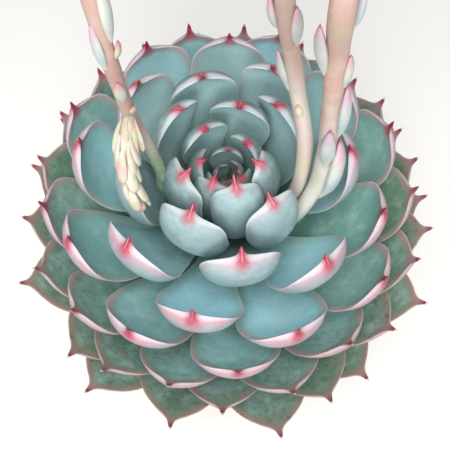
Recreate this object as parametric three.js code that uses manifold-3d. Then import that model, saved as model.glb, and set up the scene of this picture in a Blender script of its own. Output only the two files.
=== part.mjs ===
// A potted echeveria: a dense rosette of thick, pointed leaves on a short stem, three flower
// stalks that rise from between the leaves, and a round clay pot filled with soil.
// Millimetres, +Z up. The origin is the centre of the pot's flat underside.
import * as THREE from "three";
import { mergeVertices } from "three/addons/utils/BufferGeometryUtils.js";
import Module from "manifold-3d";

const wasm = await Module();
wasm.setup();

// Driving dimensions of the pot and the soil.
const POT_HEIGHT = 88;
const POT_TOP_RADIUS = 52;
const POT_FOOT_RADIUS = 36;
const POT_WALL = 4.5;
const POT_FLOOR = 6;
const COLLAR_HEIGHT = 17;
const COLLAR_STEP = 2.6;
const DRAIN_RADIUS = 4.5;
const DRAIN_CIRCLE = 19;
const DRAIN_COUNT = 3;
const SOIL_BELOW_RIM = 9;
const SOIL_MOUND = 3;
const STEM_FOOT_RADIUS = 8.5;
const STEM_DEPTH = 27;
const GAP = 0.3;

// Driving dimensions of the rosette. Leaf 0 is the youngest, in the heart.
const HEART_HEIGHT = 155;
const LEAF_COUNT = 82;
const HEART_LEAVES = 12;
const SMALL_LEAVES = 9;
const LOWEST_SINGLE_LEAF = 64;
const DIVERGENCE = 137.35;
const FIRST_AZIMUTH = 281.5;
const STEM_RADIUS = 10;
const MOST_WRAP = 1.35;
const BASE_PULL = 0.42;
const TIP_PULL = 0.36;
const SUNK_ROOT = 3;
const LEAF_SEAT = 0.35;

// Driving dimensions of the flower stalks.
const STALK_STEPS = 19;
const STALK_SIDES = 8;
const SHOOT_STEPS = 7;
const SHOOT_SIDES = 6;
const BUD_COUNT = 8;
const BUD_LENGTH = 11;
const BUDS_FROM = 0.86;

// The flower stalks, from the stem to the nodding tip: x, y and the height against the heart's tip.
// thick is the radius at the root, where the stalk comes out between the leaves, and at the tip.
// A bract is its place along the stalk, its bearing in degrees, its length and its width.
const STALKS = {
  stalk_left: {
    route: [
      [-9.2, -1, -23.9], [-12.6, -1.5, -19.2], [-17.2, -2.4, -9], [-18.6, -2.8, 1], [-16.8, -3.9, 8.4],
      [-18.8, -1.8, 17.8], [-21.9, 0, 32.3], [-22.2, -1.7, 47.7], [-22.3, -2.6, 63.3], [-22.8, -1.2, 76],
      [-24, 2.5, 92], [-26.5, 7, 102], [-30.5, 13, 104], [-33, 18.5, 98], [-34, 21, 89],
    ],
    thick: [1.25, 1.75, 1.1],
    bracts: [
      [0.55, 200, 15, 4], [0.47, 250, 10, 4.4], [0.6, 20, 17, 4.2], [0.52, 10, 8, 3.4],
      [0.67, 120, 15, 4],
    ],
    side: {
      route: [[-21.9, 0, 33.5], [-22.6, -4.5, 34], [-23.2, -9, 28.5], [-22.6, -13.2, 22], [-20.6, -16.4, 15.5]],
      thick: [1.2, 1.5, 1.6],
      scales: 8,
    },
  },
  stalk_middle: {
    route: [
      [10, -2.75, -25.4], [13.7, -4, -18.6], [17.6, -5.3, -8.6], [19.8, -4.3, 3.6], [20.2, 0.8, 16.6],
      [17.4, 8.7, 28], [14.3, 10.7, 43.7], [11, 6.5, 66.8], [10.2, 6, 82], [10.8, 8, 97],
      [12.5, 12, 108], [14.5, 18, 111], [16, 24, 106], [16.6, 27, 97],
    ],
    thick: [1.6, 2.2, 1.2],
    bracts: [
      [0.42, 280, 8, 4], [0.47, 190, 17, 4.4], [0.53, 350, 18, 4.2], [0.58, 200, 17, 4.4],
      [0.66, 30, 16, 4],
    ],
  },
  stalk_right: {
    route: [
      [10, -6.75, -26.2], [13.8, -8.1, -20.4], [17.4, -9.6, -13.6], [20.8, -9.3, -3.6], [24.2, -6.5, 8],
      [24.8, -4.1, 18], [24, -3.1, 31.2], [22.7, -2, 45.4], [21.6, -1.5, 57.3], [19.4, -4.4, 77.6],
      [19.6, -1, 91], [21.5, 4.5, 102], [25.5, 10.5, 107], [30, 16, 104], [32.5, 19.5, 95],
    ],
    thick: [1.6, 2.5, 1.3],
    bracts: [
      [0.36, 340, 17, 5.2], [0.42, 265, 14, 5], [0.5, 350, 17, 4.6],
      [0.53, 190, 22, 4.6], [0.6, 20, 15, 4.2], [0.7, 150, 15, 4],
    ],
  },
};

const radians = THREE.MathUtils.degToRad;

// A smooth curve through points [x, y] that never overshoots them.
function through(points) {
  const slopes = points.slice(1).map((p, i) => (p[1] - points[i][1]) / (p[0] - points[i][0]));
  const bends = points.map((p, i) => {
    if (i === 0) return slopes[0];
    if (i === points.length - 1) return slopes[i - 1];
    const [a, b] = [slopes[i - 1], slopes[i]];
    return a * b <= 0 ? 0 : (2 * a * b) / (a + b);
  });
  return (x) => {
    let i = points.findIndex((p) => p[0] > x) - 1;
    if (x <= points[0][0]) i = 0;
    else if (i < 0) i = points.length - 2;
    const [[x0, y0], [x1, y1]] = [points[i], points[i + 1]];
    const h = x1 - x0;
    const t = THREE.MathUtils.clamp((x - x0) / h, 0, 1);
    const rise = y0 * (1 + 2 * t) * (1 - t) ** 2 + y1 * t * t * (3 - 2 * t);
    return rise + h * (bends[i] * t * (1 - t) ** 2 - bends[i + 1] * t * t * (1 - t));
  };
}

// Where a leaf's tip is, by the leaf's number: its distance from the axis, and its height
// against the tip of the heart.
const tipRadius = through([
  [0, 1.2], [3, 3.4], [7, 5.6], [12, 11.1], [18, 21.5], [25, 35.1],
  [33, 46.8], [42, 54], [52, 59.8], [63, 64.6], [73, 69.6], [83, 74.6],
]);
const tipHeight = through([
  [0, 0], [3, 4.3], [7, 10.3], [12, 16.3], [18, 19.2], [25, 15.4],
  [33, 6], [42, -4.3], [52, -13.8], [63, -24.5], [73, -34.6], [83, -45.1],
]);
// How steeply a leaf leaves the stem, and how far it has turned up at its tip, in degrees.
const baseSlope = through([[0, 86], [8, 72], [20, 50], [40, 26], [60, 10], [83, -6]]);
const tipSlope = through([
  [0, 100], [5, 112], [12, 112], [20, 106], [28, 95], [36, 84], [45, 72], [60, 55], [83, 38],
]);
// Half the width and the thickness of a leaf at its broadest, by its number.
const halfWidth = through([[0, 3], [5, 8.5], [12, 11.6], [21, 12.8], [34, 14.2], [50, 14.8], [83, 15]]);
const thickness = through([[0, 1.4], [5, 2.6], [12, 3.8], [20, 5.2], [34, 5.4], [50, 5], [83, 4.4]]);
// The outline and the thickness from base to tip, as shares of the broadest and the thickest.
const outline = through([
  [0, 0.3], [0.22, 0.44], [0.45, 0.76], [0.66, 1], [0.8, 0.93],
  [0.89, 0.68], [0.945, 0.34], [0.975, 0.12], [1, 0],
]);
const swelling = through([
  [0, 0.42], [0.3, 0.72], [0.6, 1], [0.8, 0.86], [0.92, 0.52], [0.975, 0.26], [1, 0],
]);
// How the lower face rounds off from the middle of a leaf to its edges: the powers of a rounded bow.
const FACE_FLATNESS = 2.4;
const FACE_ROUNDING = 0.85;
// Leaves that the flower stalks and the crowding push off the rule. turn moves the whole leaf and
// bend only its tip round the axis, in degrees; inward moves the tip towards the axis, in
// millimetres; length and width are shares of the usual ones.
const PUSHED = {
  4: { bend: -13 },
  8: { turn: -12, bend: -8, inward: 0.8, width: 0.84 },
  10: { bend: -8, inward: 2, width: 0.74 },
  13: { turn: -11, bend: -2, inward: 4.8, width: 0.79 },
  14: { bend: -26 },
  15: { bend: 24 },
  18: { turn: -20, bend: -3, inward: 5, width: 0.78 },
  20: { bend: 7 },
  23: { length: 0.95 },
  31: { length: 0.93 },
  63: { length: 0.96 },
  66: { bend: 8 },
  68: { bend: -5 },
  71: { bend: 6 },
  78: { length: 0.97 },
  79: { length: 0.97 },
  81: { bend: -5, length: 0.91 },
};
const UNPUSHED = { turn: 0, bend: 0, inward: 0, length: 1, width: 1 };
const pushed = (n) => ({ ...UNPUSHED, ...PUSHED[n] });

// Where a leaf leaves the stem, which widens from the growing point and is climbed evenly.
const POINT_RADIUS = 2;
const WIDENING_LEAVES = 9;
const POINT_BELOW_HEART = 15;
const CLIMB_PER_LEAF = 0.62;
const baseRadius = (n) => POINT_RADIUS + (STEM_RADIUS - POINT_RADIUS) * (1 - Math.exp(-n / WIDENING_LEAVES));
const baseHeight = (n) => HEART_HEIGHT - POINT_BELOW_HEART - CLIMB_PER_LEAF * n;
const azimuth = (n) => radians(FIRST_AZIMUTH - DIVERGENCE * n);

// The line down the middle of a leaf's upper face, as distance from the axis and height.
function midline(n, rootDepth = 0) {
  const low = radians(baseSlope(n));
  const high = radians(tipSlope(n));
  const base = new THREE.Vector2(baseRadius(n), baseHeight(n));
  const tip = new THREE.Vector2(tipRadius(n) - pushed(n).inward, HEART_HEIGHT + tipHeight(n));
  const reach = base.distanceTo(tip);
  const out = new THREE.Vector2(Math.cos(low), Math.sin(low));
  const up = new THREE.Vector2(Math.cos(high), Math.sin(high));
  return new THREE.CubicBezierCurve(
    base.clone().addScaledVector(out, -rootDepth),
    base.clone().addScaledVector(out, BASE_PULL * reach),
    tip.clone().addScaledVector(up, -TIP_PULL * reach),
    tip,
  );
}

// A point of leaf n. along runs from 0 at the base to 1 at the tip, across from -1 to 1 between
// the edges, and depth from 0 on the upper face to 1 on the lower face.
function leafPoint(n, curve, along, across, depth) {
  const { turn, bend, length, width } = pushed(n);
  const p = curve.getPointAt(along * length);
  const t = curve.getTangentAt(along * length);
  const arc = (halfWidth(n) * width * outline(along)) / Math.max(p.x, 0.5);
  const wrap = MOST_WRAP * (1 - Math.exp(-arc / MOST_WRAP));
  const round = Math.max(0, 1 - Math.abs(across) ** FACE_FLATNESS) ** FACE_ROUNDING;
  const sink = depth * thickness(n) * swelling(along) * round;
  const angle = azimuth(n) + radians(turn + bend * along ** 2) + across * wrap;
  const r = p.x + t.y * sink;
  return new THREE.Vector3(r * Math.cos(angle), r * Math.sin(angle), p.y - t.x * sink);
}

// A closed skin over rings of points, which are listed clockwise as seen from the end. The last
// ring may be one point, a tip.
function skin(rings) {
  const points = rings.flat();
  const faces = [];
  const size = rings[0].length;
  const last = rings.length - 1;
  const pointed = rings[last].length === 1;
  for (let i = 0; i < last; i++)
    for (let j = 0; j < size; j++) {
      const a = i * size + j;
      const b = i * size + ((j + 1) % size);
      if (pointed && i === last - 1) faces.push(b, a, last * size);
      else faces.push(a, b + size, b, a, a + size, b + size);
    }
  for (let j = 0; j < size / 2; j++) {
    const [a, b, c, d] = [j, j + 1, (size - j) % size, size - j - 1];
    if (a !== c) faces.push(a, b, c);
    if (b !== d) faces.push(b, d, c);
    const end = last * size;
    if (!pointed && a !== c) faces.push(end + a, end + c, end + b);
    if (!pointed && b !== d) faces.push(end + b, end + c, end + d);
  }
  const geometry = new THREE.BufferGeometry();
  geometry.setAttribute("position", new THREE.Float32BufferAttribute(points.flatMap((p) => p.toArray()), 3));
  geometry.setIndex(faces);
  return geometry;
}

const LEAF_ROWS = [0, 0.28, 0.52, 0.72, 0.86, 0.95];
const LEAF_COLUMNS = [-1, -0.78, -0.42, 0, 0.42, 0.78, 1];
const LOWEST_ROWS = [0, 0.3, 0.56, 0.78, 0.92];
const SMALL_ROWS = [0, 0.4, 0.75, 0.93];
const SMALL_COLUMNS = [-1, -0.6, 0, 0.6, 1];

function leafGeometry(n, { rows = LEAF_ROWS, columns = LEAF_COLUMNS, rootDepth = 0 } = {}) {
  const curve = midline(n, rootDepth);
  const rings = rows.map((along) => [
    ...columns.map((across) => leafPoint(n, curve, along, across, 0)),
    ...columns.slice(1, -1).reverse().map((across) => leafPoint(n, curve, along, across, 1)),
  ]);
  return skin([...rings, [leafPoint(n, curve, 1, 0, 0)]]);
}

// A closed three.js geometry as a manifold-3d solid, and a solid as a geometry.
function solidOf(geometry) {
  const bare = new THREE.BufferGeometry();
  bare.setAttribute("position", geometry.getAttribute("position"));
  bare.setIndex(geometry.index);
  const merged = mergeVertices(bare, 1e-4);
  const corners = Array.from(merged.index.array);
  const triVerts = [];
  for (let i = 0; i < corners.length; i += 3) {
    const [a, b, c] = corners.slice(i, i + 3);
    if (a !== b && b !== c && c !== a) triVerts.push(a, b, c);
  }
  const vertProperties = new Float32Array(merged.getAttribute("position").array);
  return new wasm.Manifold(new wasm.Mesh({ numProp: 3, vertProperties, triVerts: new Uint32Array(triVerts) }));
}

function geometryFrom(solid) {
  const made = solid.getMesh();
  const geometry = new THREE.BufferGeometry();
  geometry.setAttribute("position", new THREE.BufferAttribute(new Float32Array(made.vertProperties), 3));
  geometry.setIndex(new THREE.BufferAttribute(new Uint32Array(made.triVerts), 1));
  return geometry;
}

const joined = (parts) => parts.reduce((whole, part) => whole.add(part));
const range = (from, to) => Array.from({ length: to - from }, (_, i) => from + i);

// A body of revolution about Z from its profile of [radius, height], upwards on the outside.
function turned(profile, segments) {
  const geometry = new THREE.LatheGeometry(profile.map(([r, z]) => new THREE.Vector2(r, z)), segments);
  return geometry.rotateX(Math.PI / 2);
}

// An upright plain cylinder to cut with, from its foot upwards.
function bore(radius, x, y, foot, height, segments) {
  const geometry = new THREE.CylinderGeometry(radius, radius, height, segments);
  return solidOf(geometry.rotateX(Math.PI / 2).translate(x, y, foot + height / 2));
}

// The pot: a tapered wall with a thicker collar, a flat floor and drain holes round its middle.
const ROUND_SEGMENTS = 28;
const collarFoot = POT_HEIGHT - COLLAR_HEIGHT;
const wallRadius = (z) => THREE.MathUtils.lerp(POT_FOOT_RADIUS, POT_TOP_RADIUS - COLLAR_STEP, z / POT_HEIGHT);
const innerRadius = (z) => wallRadius(z) - POT_WALL;
const CORNER = 3.6;
const FOOT_BEVEL = 1.2;
const RIM_BEVEL = 1.4;
const RIM_SLOPE = 1.6;
const DRAIN_SIDES = 10;

function potSolid() {
  const body = turned([
    [0, 0],
    [POT_FOOT_RADIUS - FOOT_BEVEL, 0],
    [wallRadius(FOOT_BEVEL), FOOT_BEVEL],
    [wallRadius(collarFoot), collarFoot],
    [wallRadius(collarFoot) + COLLAR_STEP, collarFoot + RIM_BEVEL],
    [POT_TOP_RADIUS, POT_HEIGHT - RIM_SLOPE],
    [POT_TOP_RADIUS - RIM_BEVEL, POT_HEIGHT],
    [innerRadius(POT_HEIGHT) + FOOT_BEVEL, POT_HEIGHT],
    [innerRadius(POT_HEIGHT), POT_HEIGHT - RIM_BEVEL],
    [innerRadius(POT_FLOOR + CORNER), POT_FLOOR + CORNER],
    [innerRadius(POT_FLOOR) - CORNER, POT_FLOOR],
    [0, POT_FLOOR],
  ], ROUND_SEGMENTS);
  const holes = range(0, DRAIN_COUNT).map((i) => {
    const angle = (i / DRAIN_COUNT) * 2 * Math.PI;
    const x = DRAIN_CIRCLE * Math.cos(angle);
    const y = DRAIN_CIRCLE * Math.sin(angle);
    return bore(DRAIN_RADIUS, x, y, -1, POT_FLOOR + 2, DRAIN_SIDES);
  });
  return solidOf(body).subtract(joined(holes));
}

// The soil fills the pot to below its rim. Its mound is lumpy, with a plain hole for the stem.
const soilEdge = POT_HEIGHT - SOIL_BELOW_RIM;
const soilTop = soilEdge + SOIL_MOUND;
const lump = (x, y) => 0.55 * Math.sin(0.55 * x + 1.3) * Math.cos(0.49 * y) + 0.35 * Math.sin(0.31 * (x + y));

const MOUND_RINGS = [0.86, 0.68, 0.48, 0.3];
const HOLE_SIDES = 20;

function soilSolid() {
  const wall = (z) => innerRadius(z) - GAP;
  const floor = POT_FLOOR + GAP;
  const mound = MOUND_RINGS.map((share) => [
    wall(soilEdge) * share,
    soilEdge + SOIL_MOUND * (1 - share ** 2),
  ]);
  const body = turned([
    [0, floor],
    [wall(floor) - CORNER, floor],
    [wall(floor + CORNER), floor + CORNER],
    [wall(soilEdge), soilEdge],
    ...mound,
    [0, soilTop],
  ], ROUND_SEGMENTS);
  const places = body.getAttribute("position");
  for (let i = 0; i < places.count; i++) {
    const [x, y, z] = [places.getX(i), places.getY(i), places.getZ(i)];
    if (z > soilEdge + 0.1) places.setZ(i, z + lump(x, y));
  }
  const foot = soilTop - STEM_DEPTH;
  const hole = bore(STEM_FOOT_RADIUS + GAP, 0, 0, foot, POT_HEIGHT - foot + 1, HOLE_SIDES);
  return solidOf(body).subtract(hole);
}

// The stem stands in the soil and follows the leaf bases up to the heart. The lowest leaves are
// one piece with it.
const heartFoot = (baseHeight(HEART_LEAVES - 1) + baseHeight(HEART_LEAVES)) / 2;
const NECK_BELOW_LEAVES = 7;
const STEM_SIDES = 20;
const POINT_SIDES = 14;
const STEM_CLIMB = [80, 60, 45, 33, 24, 18, 14];
const POINT_CLIMB = [11, 8, 6, 4, 2, 1];

function stemSolid() {
  const foot = soilTop - STEM_DEPTH + GAP;
  const neck = baseHeight(LEAF_COUNT) - NECK_BELOW_LEAVES;
  const climb = STEM_CLIMB.map((n) => [baseRadius(n) - LEAF_SEAT, baseHeight(n)]);
  const trunk = turned([
    [0, foot],
    [STEM_FOOT_RADIUS - 1.5, foot],
    [STEM_FOOT_RADIUS, foot + 2],
    [STEM_FOOT_RADIUS, neck],
    ...climb,
    [baseRadius(HEART_LEAVES) - LEAF_SEAT, heartFoot - GAP],
    [0, heartFoot - GAP],
  ], STEM_SIDES);
  const form = { rows: LOWEST_ROWS, columns: SMALL_COLUMNS, rootDepth: SUNK_ROOT };
  const lowest = range(LOWEST_SINGLE_LEAF, LEAF_COUNT).map((n) => solidOf(leafGeometry(n, form)));
  return joined([solidOf(trunk), ...lowest]);
}

// The heart: the growing point of the stem with its youngest leaves.
function heartSolid() {
  const climb = POINT_CLIMB.map((n) => [baseRadius(n) + 0.5, baseHeight(n) + 0.9]);
  const point = turned([
    [0, heartFoot],
    [baseRadius(HEART_LEAVES - 1) - 0.2, heartFoot],
    ...climb,
    [0, baseHeight(0) + 2],
  ], POINT_SIDES);
  const small = { rows: SMALL_ROWS, columns: SMALL_COLUMNS };
  const leaves = range(0, HEART_LEAVES).map((n) => solidOf(leafGeometry(n, n < SMALL_LEAVES ? small : {})));
  return joined([solidOf(point), ...leaves]);
}

// A round rod along a curve, with a radius that changes on the way.
function rod(curve, radiusAt, steps, sides) {
  const { normals, binormals } = curve.computeFrenetFrames(steps, false);
  const rings = range(0, steps + 1).map((i) => {
    const middle = curve.getPointAt(i / steps);
    const radius = radiusAt(i / steps);
    return range(0, sides).map((j) => {
      const angle = (-j / sides) * 2 * Math.PI;
      return middle.clone()
        .addScaledVector(normals[i], radius * Math.cos(angle))
        .addScaledVector(binormals[i], radius * Math.sin(angle));
    });
  });
  return solidOf(skin(rings));
}

// A fleshy blade or bud from root along axis. It bulges towards face. A row is its place along
// the length, its share of the width and thickness, and its bow outwards as a share of the length.
const BLADE_SIDES = [[-1, 0], [-0.55, -0.4], [0.55, -0.4], [1, 0], [0.55, 0.9], [-0.55, 0.9]];
const BRACT_ROWS = [[0, 0.5, 0], [0.34, 1, 0.03], [0.72, 0.82, 0.03], [0.92, 0.28, 0]];
const BUD_ROWS = [[0, 0.5, 0], [0.45, 1, 0.02], [0.86, 0.62, 0]];

function blade({ root, axis, face, length, width, thick, rows }) {
  const across = new THREE.Vector3().crossVectors(axis, face).normalize();
  const out = new THREE.Vector3().crossVectors(across, axis).normalize();
  const rings = rows.map(([along, share, bow]) =>
    BLADE_SIDES.map(([x, y]) =>
      root.clone()
        .addScaledVector(axis, along * length)
        .addScaledVector(across, (x * share * width) / 2)
        .addScaledVector(out, y * share * thick + bow * length)));
  return solidOf(skin([...rings, [root.clone().addScaledVector(axis, length)]]));
}

// A blade that sits on a rod. place is how far along the rod, side its bearing round the vertical
// in degrees, and lean how far it stands off the rod in degrees.
const ROOT_INSIDE = 0.45;
const BRACT_LEAN = 7;
const BRACT_THICK = 0.34;
const BUD_WIDTH = 0.46;
const BUD_THICK = 0.25;
const BUD_SPREAD = 0.7;
const BUD_DROOP = 0.3;

function bladeOn(curve, radius, { place, side, lean, ...size }) {
  const along = curve.getTangentAt(place);
  const bearing = new THREE.Vector3(Math.cos(radians(side)), Math.sin(radians(side)), 0);
  const face = bearing.addScaledVector(along, -bearing.dot(along)).normalize();
  const root = curve.getPointAt(place).addScaledVector(face, ROOT_INSIDE * radius);
  const axis = new THREE.Vector3()
    .addScaledVector(along, Math.cos(radians(lean)))
    .addScaledVector(face, Math.sin(radians(lean)));
  return blade({ root, axis, face, ...size });
}

// Buds on the nodding end of a stalk, in two rows that hang to both sides, smaller towards the tip.
function budsOn(curve) {
  return range(0, BUD_COUNT).map((i) => {
    const share = i / (BUD_COUNT - 1);
    const place = THREE.MathUtils.lerp(BUDS_FROM, 0.995, share);
    const along = curve.getTangentAt(place);
    const aside = new THREE.Vector3().crossVectors(along, new THREE.Vector3(0, 0, 1)).normalize();
    const face = aside.multiplyScalar(i % 2 ? 1 : -1);
    const axis = along.clone().addScaledVector(face, BUD_SPREAD);
    axis.z -= BUD_DROOP;
    axis.normalize();
    const length = BUD_LENGTH * THREE.MathUtils.lerp(1, 0.6, share);
    const size = { length, width: BUD_WIDTH * length, thick: BUD_THICK * length };
    return blade({ root: curve.getPointAt(place), axis, face, ...size, rows: BUD_ROWS });
  });
}

// Long scales that clothe a hanging side shoot all round, pointing down along it.
const SCALE_WIDTH = 3.6;
const SCALE_THICK = 1.5;
const SCALE_LEAN = 9;

function scalesOn(curve, count, radius) {
  return range(0, count).map((i) => {
    const place = THREE.MathUtils.lerp(0.16, 0.74, i / (count - 1));
    const length = THREE.MathUtils.lerp(10, 8.5, i / (count - 1));
    const size = { length, width: SCALE_WIDTH, thick: SCALE_THICK, rows: BUD_ROWS };
    return bladeOn(curve, radius, { place, side: i * DIVERGENCE, lean: SCALE_LEAN, ...size });
  });
}

const curveThrough = (route) =>
  new THREE.CatmullRomCurve3(route.map(([x, y, z]) => new THREE.Vector3(x, y, z + HEART_HEIGHT)));

function stalkSolid({ route, thick, bracts, side }) {
  const curve = curveThrough(route);
  const radiusAt = through([[0, thick[0]], [0.3, thick[1]], [0.7, thick[1]], [1, thick[2]]]);
  const parts = [rod(curve, radiusAt, STALK_STEPS, STALK_SIDES), ...budsOn(curve)];
  bracts.forEach(([place, bearing, length, width]) => {
    const size = { length, width, thick: BRACT_THICK * width, rows: BRACT_ROWS };
    parts.push(bladeOn(curve, radiusAt(place), { place, side: bearing, lean: BRACT_LEAN, ...size }));
  });
  if (side) {
    const shoot = curveThrough(side.route);
    const shootRadius = through([[0, side.thick[0]], [0.5, side.thick[1]], [1, side.thick[2]]]);
    parts.push(rod(shoot, shootRadius, SHOOT_STEPS, SHOOT_SIDES));
    parts.push(...scalesOn(shoot, side.scales, side.thick[1]));
  }
  return joined(parts);
}

// Colours of the sub-parts, and of the leaves from the heart outwards.
const materialOf = (color, roughness) => new THREE.MeshStandardMaterial({ color, roughness, metalness: 0 });
const clay = materialOf(0xb5684a, 0.9);
const earth = materialOf(0x3b2d24, 1);
const bark = materialOf(0x8f9c86, 0.8);
const heartGreen = materialOf(0xa9c6c2, 0.75);
const flesh = materialOf(0xe2c6b4, 0.7);
const innerLeaf = new THREE.Color(0xa3c4c3);
const outerLeaf = new THREE.Color(0x6f9384);

const plant = new THREE.Group();
function addPiece(name, solid, material) {
  const mesh = new THREE.Mesh(geometryFrom(solid), material);
  mesh.name = name;
  plant.add(mesh);
}

addPiece("pot", potSolid(), clay);
addPiece("soil", soilSolid(), earth);
addPiece("stem", stemSolid(), bark);
addPiece("heart", heartSolid(), heartGreen);
range(HEART_LEAVES, LOWEST_SINGLE_LEAF).forEach((n) => {
  const share = (n - HEART_LEAVES) / (LOWEST_SINGLE_LEAF - HEART_LEAVES);
  addPiece(`leaf_${n}`, solidOf(leafGeometry(n)), materialOf(innerLeaf.clone().lerp(outerLeaf, share), 0.75));
});
Object.entries(STALKS).forEach(([name, stalk]) => addPiece(name, stalkSolid(stalk), flesh));

export default plant;
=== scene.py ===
import math

import bmesh
import bpy
import numpy as np
from mathutils import Matrix, Vector


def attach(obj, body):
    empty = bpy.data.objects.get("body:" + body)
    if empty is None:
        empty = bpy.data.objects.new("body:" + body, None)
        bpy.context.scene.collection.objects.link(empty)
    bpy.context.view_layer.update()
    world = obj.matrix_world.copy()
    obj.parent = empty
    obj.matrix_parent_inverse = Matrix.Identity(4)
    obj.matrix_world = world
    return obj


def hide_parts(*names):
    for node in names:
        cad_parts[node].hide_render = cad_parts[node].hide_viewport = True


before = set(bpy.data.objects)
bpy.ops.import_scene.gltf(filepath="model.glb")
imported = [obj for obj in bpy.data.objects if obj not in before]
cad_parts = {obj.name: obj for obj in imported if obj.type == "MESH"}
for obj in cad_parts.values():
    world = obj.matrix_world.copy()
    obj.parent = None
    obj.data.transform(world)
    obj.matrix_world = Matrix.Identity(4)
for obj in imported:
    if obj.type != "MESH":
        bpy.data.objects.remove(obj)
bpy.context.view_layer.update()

MM = 0.001

# Camera, lights and sky, in metres and watts
CAMERA_AT = (-0.0004, -0.0752, 0.3196)
CAMERA_TILT = math.radians(20)
CAMERA_ROLL = math.radians(-0.61)
CAMERA_LENS = 52.0
SENSOR_WIDTH = 36
CLIP_START = 0.01
ROSETTE = (0, 0, 0.14)
# Place, size, power and colour of each light, which aims at the rosette.
LIGHTS = {
    "key": ((-0.02, -0.14, 0.76), 0.55, 5.5, (1.0, 0.99, 0.98)),
    "fill": ((-0.06, -0.46, 0.48), 0.30, 2.1, (0.97, 0.98, 1.0)),
}
SKY_COLOUR = (0.94, 0.97, 1.0)
SKY_STRENGTH = 0.4


def new_object(name, data):
    made = bpy.data.objects.new(name, data)
    bpy.context.scene.collection.objects.link(made)
    return made


def add_camera():
    data = bpy.data.cameras.new("camera")
    data.lens = CAMERA_LENS
    data.sensor_width = SENSOR_WIDTH
    data.clip_start = CLIP_START
    camera = new_object("camera", data)
    turn = Matrix.Rotation(CAMERA_TILT, 4, "X") @ Matrix.Rotation(CAMERA_ROLL, 4, "Z")
    camera.matrix_world = Matrix.Translation(CAMERA_AT) @ turn
    bpy.context.scene.camera = camera


def add_light(name, place, size, watts, colour):
    data = bpy.data.lights.new(name, "AREA")
    data.shape = "DISK"
    data.size = size
    data.energy = watts
    data.color = colour
    light = new_object(name, data)
    light.location = place
    light.rotation_euler = (Vector(ROSETTE) - Vector(place)).to_track_quat("-Z", "Y").to_euler()


def add_world():
    world = bpy.data.worlds.new("studio")
    world.use_nodes = True
    back = world.node_tree.nodes["Background"]
    back.inputs["Color"].default_value = (*SKY_COLOUR, 1)
    back.inputs["Strength"].default_value = SKY_STRENGTH
    bpy.context.scene.world = world


add_camera()
for name, light in LIGHTS.items():
    add_light(name, *light)
add_world()
bpy.context.scene.view_settings.view_transform = "Standard"


# Curves and meshes
def through(points):
    """A smooth curve through points (x, y) that never overshoots them."""
    x, y = np.array(points, float).T
    slopes = np.diff(y) / np.diff(x)
    before, after = slopes[:-1], slopes[1:]
    total = np.where(before + after == 0, 1, before + after)
    inner = np.where(before * after <= 0, 0, 2 * before * after / total)
    bends = np.concatenate([slopes[:1], inner, slopes[-1:]])

    def value(at):
        i = np.clip(np.searchsorted(x, at, side="right") - 1, 0, len(slopes) - 1)
        step = x[i + 1] - x[i]
        t = np.clip((at - x[i]) / step, 0, 1)
        rise = y[i] * (1 + 2 * t) * (1 - t) ** 2 + y[i + 1] * t * t * (3 - 2 * t)
        return rise + step * (bends[i] * t * (1 - t) ** 2 - bends[i + 1] * t * t * (1 - t))

    return value


def smooth(low, high, x):
    t = np.clip((x - low) / (high - low), 0, 1)
    return t * t * (3 - 2 * t)


def circle(sides):
    """The angles of the corners of a ring."""
    return np.arange(sides) / sides * 2 * math.pi


def lengths_along(line):
    """The length from a line's first point to each of its points."""
    return np.concatenate([[0], np.cumsum(np.linalg.norm(np.diff(line, axis=0), axis=1))])


def ring_faces(rings, size, start=0, pointed=True):
    """Faces of a closed skin over rings of equal size, listed clockwise as seen from the end."""
    faces = []
    for i in range(rings - 1):
        for j in range(size):
            a, b = start + i * size + j, start + i * size + (j + 1) % size
            faces.append((a, a + size, b + size, b))
    faces.append(tuple(start + j for j in range(size)))
    end = start + (rings - 1) * size
    if pointed:
        faces += [(end + (j + 1) % size, end + j, end + size) for j in range(size)]
    else:
        faces.append(tuple(end + j for j in reversed(range(size))))
    return faces


def make_mesh(name, points, faces, values=None):
    """A smooth mesh in metres from points in millimetres, with a three-part value at each point."""
    mesh = bpy.data.meshes.new(name)
    mesh.from_pydata((np.asarray(points) * MM).tolist(), [], faces)
    for key, numbers in (values or {}).items():
        layer = mesh.attributes.new(key, "FLOAT_VECTOR", "POINT")
        layer.data.foreach_set("vector", np.asarray(numbers, np.float32).ravel())
    mesh.shade_smooth()
    mesh.update()
    return mesh


def add_piece(name, mesh, material, node):
    piece = new_object(name, mesh)
    mesh.materials.append(material)
    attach(piece, "root")
    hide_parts(node)
    return piece


# The leaf rule. Leaf 0 is the youngest, in the heart.
HEART_HEIGHT = 155
LEAF_COUNT = 82
HEART_LEAVES = 12
FIRST_MIDDLE_LEAF = 24
FIRST_OUTER_LEAF = 44
FIRST_LEAF_ON_STEM = 64
DIVERGENCE = 137.35
FIRST_AZIMUTH = 281.5
FIRST_LEAF_BELOW = 15
LEAF_SPACING = 0.62
STEM_RADIUS = 10
STEM_TIP_RADIUS = 2
LEAVES_TO_WIDEN = 9
SUNK_ROOT = 3
# The most that half a leaf wraps round the stem, in radians, and how far the slopes at the ends of
# its midline pull it, as shares of its reach.
MOST_WRAP = 1.35
BASE_PULL = 0.42
TIP_PULL = 0.36

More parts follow.
